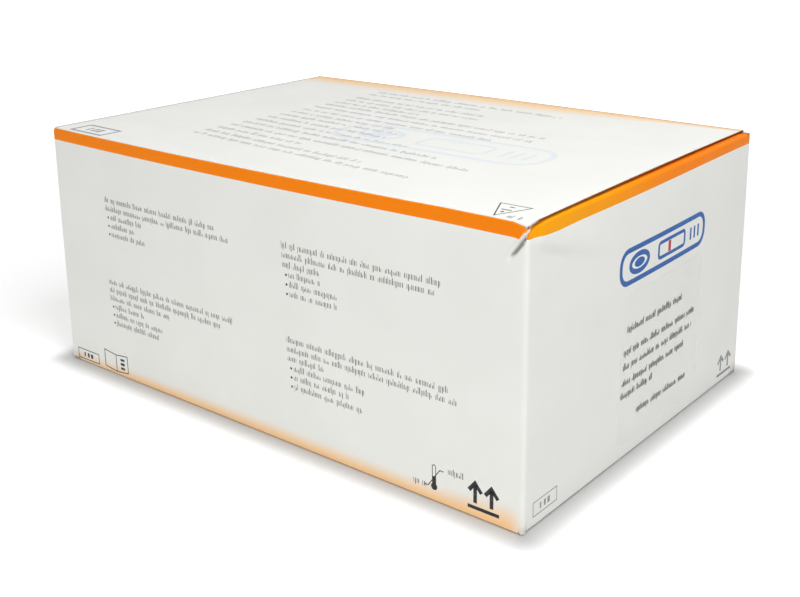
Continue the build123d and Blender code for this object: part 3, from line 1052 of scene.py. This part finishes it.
def wall_board():
    """Coat, glow, stripe, cracks and painted shade in the crease, laid over each other in this order."""
    pattern = finish_of("printed_board", Specular_IOR_Level=0.06)
    place = pattern.place()
    u, v = pattern.blank()
    left_end = within(pattern, u, U_LEFT - STRAIGHT_Y, U_LEFT + STRAIGHT_Y, WALL_FOLD)
    stripe_end = pattern.fade(left_end, 0.0, 1.0, STRIPE_END, LEFT_STRIPE_END)
    past = pattern.math("SUBTRACT", v, stripe_end)
    dip = pattern.math("MULTIPLY", pattern.fade(u, U_CORNER, U_CORNER + DIP_START),
                       pattern.fade(u, U_END - 40 * MM, U_END + 60 * MM, 1.0, 0.0))
    low = pattern.math("MULTIPLY_ADD", dip, -STRIPE_DIP, STRIPE_LOW)
    above = pattern.math("SUBTRACT", v, low)
    stripe = pattern.math("MULTIPLY", pattern.fade(above, -PRINT_EDGE, PRINT_EDGE),
                          pattern.fade(past, -PRINT_EDGE, PRINT_EDGE, 1.0, 0.0))
    front = within(pattern, u, -HALF_X, HALF_X - 2 * MM, GLOW_EDGE)
    back = within(pattern, u, U_BACK - HALF_X, U_BACK + HALF_X, GLOW_EDGE)
    reach = pattern.math("ADD", pattern.fade(u, -90 * MM, 30 * MM, *GLOW_REACH),
                         pattern.fade(u, 60 * MM, HALF_X, 0.0, GLOW_MORE))
    glow = pattern.fade(v, 0.0, reach, pattern.fade(u, -HALF_X, -50 * MM, 0.7, 1.0), 0.0)
    glow = pattern.math("MULTIPLY", glow, pattern.math("ADD", front, back))
    colour = pattern.mix(glow, clay_coat(pattern, place), PEACH)
    # painted light: next to the corner the end wall's stripe turns to the lighter orange, for the light it
    # catches there
    lit_share = pattern.math("MULTIPLY", pattern.fade(u, U_CORNER, U_CORNER + 2 * MM),
                         pattern.fade(u, U_CORNER + 12 * MM, U_END + 20 * MM, 1.0, 0.0))
    colour = pattern.mix(stripe, colour, pattern.mix(lit_share, ORANGE, LIT_ORANGE))
    # the cracked strip is bare board; the second share is painted shade in the crease's groove
    bare = pattern.node("Attribute", attribute_name="crack").outputs["Fac"]
    painted_crease_line = pattern.node("Attribute", attribute_name="painted_crease_line").outputs["Fac"]
    colour = pattern.mix(bare, colour, BARE_CORE)
    return board_surface(pattern, place, pattern.mix(painted_crease_line, colour, PAINTED_CREASE_SHADE))


printed_board = wall_board()
print("material:", printed_board.name)

# %% [markdown]
# ### Board of the lid, bare board and cut edges
# The lid is white, with a peach fade that starts on the hinge crease and gets narrow to the right.
# Inside, the board is bare: warmer, rougher, with darker specks. A cut edge shows the same fibres pressed
# in layers.

# %% Board of the lid, bare board and cut edges
LID_FADE = (16 * MM, 5 * MM)        # depth of the fade over the lid's left half and at its right end
# painted shadow: the dark brown given to the lid's right cut edge, for the shade in the gap over the orange
# fold
LID_EDGE_SHADOW = (0.28, 0.075, 0.006)
FOLD_STAIN = (0.85, 0.25, 0.01)


def lid_board():
    """The coat with its peach fade, which starts on the hinge crease."""
    pattern = finish_of("lid_board", Specular_IOR_Level=0.12)
    u, v = pattern.blank()
    place = pattern.place()
    share = pattern.fade(v, 0.0, pattern.fade(u, 10 * MM, 95 * MM, *LID_FADE), 1.0, 0.0)
    colour = pattern.mix(share, clay_coat(pattern, place), PEACH)
    return board_surface(pattern, place, colour)


def bare_board(name, layers, ink_or_shadow=None):
    """Uncoated grey-white board. On a cut edge it is streaked along the sheet: layers per metre up the
    edge. On the lid's right cut edge a painted shadow lies on part of it: dark brown for the shade in the
    gap over the orange fold. On the top of the upright folds lies a stain of stripe ink."""
    pattern = finish_of(name, Roughness=0.85, Specular_IOR_Level=0.2)
    place = pattern.place()
    stretched = pattern.node("Mapping", {"Vector": place, "Scale": (1.0, 1.0, layers)}).outputs[0]
    speck = pattern.fade(pattern.noise(stretched, 700.0, 3.0, 0.65), 0.62, 0.72)
    cloud = pattern.fade(pattern.noise(place, 60.0, 3.0), 0.35, 0.65)
    colour = pattern.mix(cloud, (0.69, 0.67, 0.62), (0.72, 0.70, 0.65))
    colour = pattern.mix(pattern.math("MULTIPLY", speck, 0.35), colour, (0.40, 0.36, 0.30))
    if ink_or_shadow == "lid":
        # painted shadow on the lid's right cut edge, along its panel
        u, v = pattern.blank()
        share = pattern.math("MULTIPLY", pattern.fade(u, 0.8 * LID_X, 0.9 * LID_X),
                             pattern.fade(v, PANEL - 4 * MM, PANEL - 1 * MM, 1.0, 0.0))
        colour = pattern.mix(share, colour, LID_EDGE_SHADOW)
    if ink_or_shadow == "walls":
        u, v = pattern.blank()
        colour = pattern.mix(within(pattern, v, 80.0 * MM, 84.0 * MM, 0.3 * MM), colour, FOLD_STAIN)
    relief = pattern.bump(pattern.noise(stretched, 500.0, 4.0, 0.6), 0.00006, 0.6)
    return pattern.wire(Base_Color=colour, Normal=relief)


lid_print = lid_board()
inside_board = bare_board("bare_board", 1.0)
cut_edge = bare_board("cut_edge", 6.0)
lid_edge = bare_board("lid_edge", 6.0, "lid")
wall_edge = bare_board("wall_edge", 6.0, "walls")
boards = {shell: (printed_board, inside_board, wall_edge), lid_panel: (lid_print, inside_board, lid_edge)}
for piece, kinds in boards.items():
    for material in kinds:
        piece.data.materials.append(material)
for material in (lid_print, inside_board, cut_edge):
    crease.data.materials.append(material)
crease.data.polygons.foreach_set("material_index", np.array(crease_kind, np.int32))

corner_uv = np.zeros(2 * len(shell.data.loops), np.float32)
shell.data.uv_layers["blank"].data.foreach_get("uv", corner_uv)
corner_of = np.zeros(len(shell.data.loops), np.int32)
shell.data.loops.foreach_get("vertex_index", corner_of)
vertex_uv = np.zeros((len(shell.data.vertices), 2), np.float32)
vertex_uv[corner_of] = corner_uv.reshape(-1, 2)
# crack: where the board is bare; the second share: painted shade along the crease's groove
for name, share_at in (("crack", crack), ("painted_crease_line", crease_shade_paint)):
    layer = shell.data.attributes.new(name, "FLOAT", "POINT")
    layer.data.foreach_set("value", share_at(vertex_uv[:, 0], vertex_uv[:, 1]).astype(np.float32))
print("boards:", printed_board.name, lid_print.name, inside_board.name, cut_edge.name)

# %% [markdown]
# ### Film and inks
# The label is clear film: most light goes through it, and a faint sheen gives it away. The inks are matt
# films.

# %% Film and inks
def film_material():
    """Nearly see-through, with a gloss that changes a little from place to place."""
    pattern = finish_of("label_film", Base_Color=(0.95, 0.95, 0.95, 1.0), Alpha=0.05)
    place = pattern.place()
    gloss = pattern.fade(pattern.noise(place, 120.0), 0.3, 0.7, 0.22, 0.34)
    return pattern.wire(Roughness=gloss, Normal=pattern.bump(pattern.noise(place, 70.0), 0.0002, 0.2))


def ink_material(name, colour, worn):
    """Ink that thins out a little here and there, towards the colour worn."""
    pattern = finish_of(name, Roughness=0.55, Specular_IOR_Level=0.15)
    place = pattern.place()
    share = pattern.fade(pattern.noise(place, 1400.0, 2.0), 0.45, 0.75, 0.0, 0.6)
    relief = pattern.bump(pattern.noise(place, 900.0, 3.0), 0.00003, 0.5)
    return pattern.wire(Base_Color=pattern.mix(share, colour, worn), Normal=relief)


clear_film = film_material()
clear_rim = ink_material("film_rim", (0.95, 0.95, 0.95), (0.90, 0.90, 0.90))
dark_ink = ink_material("dark_ink", (0.03, 0.03, 0.033), (0.10, 0.10, 0.11))
blue_ink = ink_material("blue_ink", (0.03, 0.12, 0.40), (0.08, 0.20, 0.48))
red_ink = ink_material("red_ink", (0.50, 0.04, 0.04), (0.58, 0.12, 0.12))
grey_ink = ink_material("grey_ink", (0.30, 0.30, 0.32), (0.45, 0.45, 0.47))
lid_ink = ink_material("lid_ink", (0.28, 0.29, 0.33), (0.45, 0.46, 0.50))
pale_blue_ink = ink_material("pale_blue_ink", (0.75, 0.80, 0.84), (0.79, 0.82, 0.84))
label.data.materials.append(clear_film)
label.data.materials.append(clear_rim)
print("inks:", [ink.name for ink in (dark_ink, blue_ink, red_ink, grey_ink, lid_ink, pale_blue_ink)])

# %% [markdown]
# ### Laying the print
# All places are in millimetres: on the front wall along X and up, on the end wall along Y and up, on the
# lid along X and Y.

# %% Print on the front wall
draw = np.random.default_rng(11)
ROW_PITCH = 2.9
ROW_HEIGHT = 1.35
front_rows = []
for left, top, lengths in ((-68.2, 61.6, (53, 59, 16, 13, 17)), (13.2, 61.8, (56, 54, 14, 12, 19, 18)),
                           (-69.7, 33.0, (60, 54, 30, 15, 24, 22)), (13.2, 32.9, (58, 61, 14, 27, 21, 26))):
    first_dotted = len(lengths) - 3
    front_rows.append(tick_block(draw, left, top, lengths, ROW_HEIGHT, ROW_PITCH,
                                 range(first_dotted, len(lengths))))
front_signs = [plate(-91.0, 1.2, 11.5, 3.5), open_leaflet(-75.8, 1.2, 12.2, 6.7), thermometer(66.5, 3.4, 7.4),
               tick_row(draw, 59.5, 3.6, 4.2, 1.3), tick_row(draw, 71.2, 9.6, 5.2, 1.3)]
lay_ink("front_rows", np.concatenate(front_rows), on_front, INK, dark_ink)
lay_ink("front_signs", np.concatenate(front_signs), on_front, INK, dark_ink)
lay_ink("front_arrows", arrows(77.6, 2.4, 10.0, 7.8), on_front, INK, dark_ink)

# %% Print on the end wall and the label
lay_ink("end_drawing", strip_drawing(-20.5, 54.6, 52, 9.4, 1.5), on_end, INK, blue_ink)
lay_ink("end_line", box_quads(7.3, 57.7, 8.9, 60.9), on_end, INK, red_ink)
end_signs = np.concatenate([plate(-60.5, 3.4, 11.4, 4.0), arrows(49.5, 2.9, 10.5, 6.9, 1.0)])
lay_ink("end_signs", end_signs, on_end, INK, grey_ink)
label_rows = [tick_row(draw, start, base, length, 1.5)
              for start, base, length in ((-15.0, 39.6, 33.5), (-16.2, 32.9, 44), (-16.1, 28.4, 43),
                                          (-16.2, 23.5, 38.5), (-16.6, 19.6, 19), (-6.5, 12.2, 31))]
lay_ink("label_rows", np.concatenate(label_rows), on_end, LABEL_FILM + LABEL_GLUE + INK, dark_ink)

# %% Print on the lid
LID_ROWS = ((48.4, 84), (43.2, 52), (35.6, 60), (30.2, 62), (24.8, 40), (19.8, 98), (14.2, 96), (8.4, 84),
            (2.8, 50), (-2.6, 57), (-8.3, 55), (-13.8, 70), (-19.2, 86), (-24.8, 102), (-30.2, 40),
            (-35.5, 71), (-40.1, 94))
lid_rows = [tick_row(draw, -48.9 + 0.027 * base, base - 0.8, length, 1.7) for base, length in LID_ROWS]
for row in lid_rows:                # the rows drop a little to the right, the front ones most
    row[..., 1] -= (0.045 - 0.0005 * row[0, 0, 1]) * (row[..., 0] + 49)
lay_ink("lid_rows", np.concatenate(lid_rows), on_lid, INK, lid_ink, "lid")
lid_signs = [corner_sign(78.3, -63.3, 9.4, 10.2), tick_row(draw, 86.3, -63.2, 3.8, 1.6)]
lay_ink("lid_signs", np.concatenate(lid_signs), on_lid, INK, dark_ink, "lid")
lay_ink("lid_plate", plate(-86.0, -62.5, 16, 8, 1.0), on_lid, INK, lid_ink, "lid")
lay_ink("lid_drawing", strip_drawing(-14, -18, 78, 21, 1.9), on_lid, INK, pale_blue_ink, "lid")
print("print laid")

# %% [markdown]
# ## What is inside
# Twenty-five foil pouches stand in one row, like cards in a box, and a folded leaflet lies in front of
# them on edge. A pouch is two sheets of foil sealed flat round the rim, with a soft hump where the device
# lies. Both faces are one grid of numbers each: the hump is a product of two smooth steps, and creases
# run out from it.

# %% Foil pouches
SEAL = 7 * MM
SEAL_HALF = 0.12 * MM               # half the thickness of the sealed rim
SEAL_DRIFT = 0.8 * MM               # how far the rim wavers
CREASE_DEPTH = 0.22 * MM
POUCH_COUNT = 25
SIDE_U = 41
SIDE_V = 29


def pouch_grid(low, high, draw):
    """Front and back face of one pouch between its node's corners, joined along the rim."""
    y = np.linspace(low.y, high.y, SIDE_U)[:, None]
    z = np.linspace(low.z, high.z, SIDE_V)[None, :]
    rim = np.minimum(np.minimum(y - low.y, high.y - y), np.minimum(z - low.z, high.z - z))
    soft = smooth((rim - 0.75 * SEAL) / (1.4 * SEAL))
    mid = (low.x + high.x) / 2
    half = (high.x - low.x) / 2 - 0.15 * MM
    phase = draw.uniform(0, 6.28, 6)
    waves = (np.sin(y * 260 + z * 90 + phase[0]) + np.sin(z * 300 - y * 120 + phase[1]) +
             0.6 * np.sin(y * 520 - z * 430 + phase[2])) / 2.6
    edge = np.sin(y * 150 + phase[3]) * np.cos(z * 130 + phase[4])
    bulk = half * (0.06 + 0.88 * soft) + CREASE_DEPTH * waves * soft * (1 - 0.5 * soft)
    bulk = np.clip(bulk, SEAL_HALF, half)
    drift = SEAL_DRIFT * edge * (1 - soft)
    sides = [np.stack([mid + drift + sign * bulk, y + 0 * z, z + 0 * y], -1) for sign in (1, -1)]
    return sides, np.stack([y + 0 * z, z + 0 * y], -1)


def pouch_piece(number, draw):
    """One pouch: both faces in one piece, welded along the rim."""
    low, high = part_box(f"pouch_{number:02d}")
    (front, back), flat = pouch_grid(low, high, draw)
    back[0], back[-1], back[:, 0], back[:, -1] = front[0], front[-1], front[:, 0], front[:, -1]
    piece = sheet_from(f"foil_pouch_{number:02d}", [(front, flat), (back[:, ::-1], flat[:, ::-1])])
    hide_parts(f"pouch_{number:02d}")
    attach(piece, "root")
    return piece


pouch_draw = np.random.default_rng(5)
pouches = [pouch_piece(number, pouch_draw) for number in range(1, POUCH_COUNT + 1)]
print("pouches:", len(pouches), "of", len(pouches[0].data.polygons), "quads")

# %% [markdown]
# ### Foil and paper
# Foil laminate is bright but not a mirror: rolled, printed and handled, it has fine creases that scatter
# the light. The leaflet is thin paper with faint fibres.

# %% Foil and paper
def foil_material():
    """Rolled metal: the creases are the lines where a noise crosses its middle value."""
    pattern = finish_of("foil", Metallic=0.9)
    place = pattern.place()
    creases = pattern.math("ABSOLUTE", pattern.math("SUBTRACT", pattern.noise(place, 140.0, 4.0, 0.6), 0.5))
    tone = pattern.fade(pattern.noise(place, 60.0), 0.3, 0.7)
    colour = pattern.mix(tone, (0.74, 0.75, 0.77), (0.82, 0.83, 0.84))
    gloss = pattern.fade(pattern.noise(place, 400.0, 3.0), 0.3, 0.7, 0.26, 0.42)
    return pattern.wire(Base_Color=colour, Roughness=gloss, Normal=pattern.bump(creases, 0.0015, 0.6))


def paper_material():
    """Thin matt paper with faint fibres."""
    pattern = finish_of("leaflet_paper", Roughness=0.8, Specular_IOR_Level=0.2)
    place = pattern.place()
    cloud = pattern.fade(pattern.noise(place, 500.0, 3.0), 0.4, 0.7)
    relief = pattern.bump(pattern.noise(place, 700.0, 3.0), 0.00005, 0.6)
    return pattern.wire(Base_Color=pattern.mix(cloud, (0.82, 0.82, 0.80), (0.76, 0.76, 0.74)), Normal=relief)


foil = foil_material()
for piece in pouches:
    piece.data.materials.append(foil)
paper = paper_material()
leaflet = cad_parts["package_insert"]
leaflet.data.materials.clear()
leaflet.data.materials.append(paper)
print("foil and paper on", len(pouches) + 1, "pieces")

# %% [markdown]
# ## Floor, world and lamps
# The carton stands on a white sweep. To the camera the floor is nearly pure white; to all other rays it
# is a little darker, so that it doesn't wash out the walls' feet. The narrow dark line along the carton's
# feet is a painted shadow: the floor is coloured darker close to the carton. A broad lamp overhead and
# slightly behind lights the lid and gives the floor its soft shadow, a small one over the near corner gives
# the right end its share, and a low one fills the front.

# %% Floor
FLOOR_GLOW = (0.26, 1.00)           # what the camera sees of the floor besides the light on it, near and far
FLOOR_NEAR = (0.20, 0.60)           # the glow grows between these distances from the carton's middle
# painted shadow: the floor is coloured darker right at the walls' feet
CONTACT_SHADE = 0.50                # right at the walls' feet the floor is seen this much darker,
CONTACT_REACH = 11 * MM             # and this far out it is white again


def floor_material():
    """White, with its own glow for the camera, and a painted shadow that darkens it close to the carton's
    rectangle on the floor."""
    pattern = finish_of("floor_white", Roughness=1.0, Specular_IOR_Level=0.0,
                        Emission_Color=(1.0, 1.0, 1.0, 1.0))
    seen, place = pattern.seen(), pattern.place()
    beside = pattern.vector("SUBTRACT", pattern.vector("ABSOLUTE", place)[0], (HALF_X, HALF_Y, 1.0))[0]
    away = pattern.vector("LENGTH", pattern.vector("MAXIMUM", beside)[0])["Value"]
    # painted shadow: a darkening of the floor's colour and glow close to the carton
    painted_contact_shadow = pattern.fade(away, 0.0, CONTACT_REACH, CONTACT_SHADE, 1.0)
    white = pattern.mix(painted_contact_shadow, (0.0, 0.0, 0.0), (0.97, 0.97, 0.97))
    distance = pattern.vector("LENGTH", place)["Value"]
    glow = pattern.math("MULTIPLY", seen, pattern.fade(distance, *FLOOR_NEAR, *FLOOR_GLOW))
    return pattern.wire(Base_Color=pattern.mix(seen, (0.90, 0.90, 0.90), white),
                        Emission_Strength=pattern.math("MULTIPLY", glow, painted_contact_shadow))


def floor_sweep():
    """A flat grid 6 m across, just under the carton."""
    side = np.linspace(-3.0, 3.0, 13)
    x, y = np.meshgrid(side, side, indexing="ij")
    points = np.stack([x, y, np.full(x.shape, -0.0002)], -1)
    return points, np.stack([x, y], -1)


floor = sheet_from("floor", [floor_sweep()])
floor.data.materials.append(floor_material())
print("floor:", len(floor.data.polygons), "quads")

# %% World
WORLD_LIGHT = 0.32


def white_world():
    """White to the camera and in reflections, softer as a light."""
    world = bpy.data.worlds.new("studio")
    bpy.context.scene.world = world
    pattern = Pattern(world, "Background", Color=(1.0, 1.0, 1.0, 1.0))
    level = {"Value": pattern.seen(), "To Min": WORLD_LIGHT, "To Max": 1.0}
    pattern.wire(Strength=pattern.node("MapRange", level).outputs["Result"])


white_world()
print("world light:", WORLD_LIGHT)

# %% Lamps
def soft_lamp(name, place, aim, size, watts):
    """A square area lamp that faces a point."""
    light = bpy.data.lights.new(name, "AREA")
    light.shape = "SQUARE"
    light.size = size
    light.energy = watts
    lamp = bpy.data.objects.new(name, light)
    bpy.context.scene.collection.objects.link(lamp)
    back = np.array(place, float) - np.array(aim, float)
    back /= np.linalg.norm(back)
    right = np.cross([0.0, 1.0, 0.001], back)
    right /= np.linalg.norm(right)
    stand = np.eye(4)
    stand[:3, :3] = np.array([right, np.cross(back, right), back]).T
    stand[:3, 3] = place
    lamp.matrix_world = Matrix(stand.tolist())
    return lamp


soft_lamp("overhead", (-0.20, 0.24, 2.4), (0.0, 0.0, 0.04), 0.75, 12.6)
soft_lamp("near_corner", (0.30, -0.15, 0.50), (0.08, -0.05, 0.08), 0.25, 1.6)
soft_lamp("front_low", (0.10, -1.30, 0.22), (0.0, 0.0, 0.03), 0.6, 4.2)
bpy.context.scene.view_settings.view_transform = "Standard"
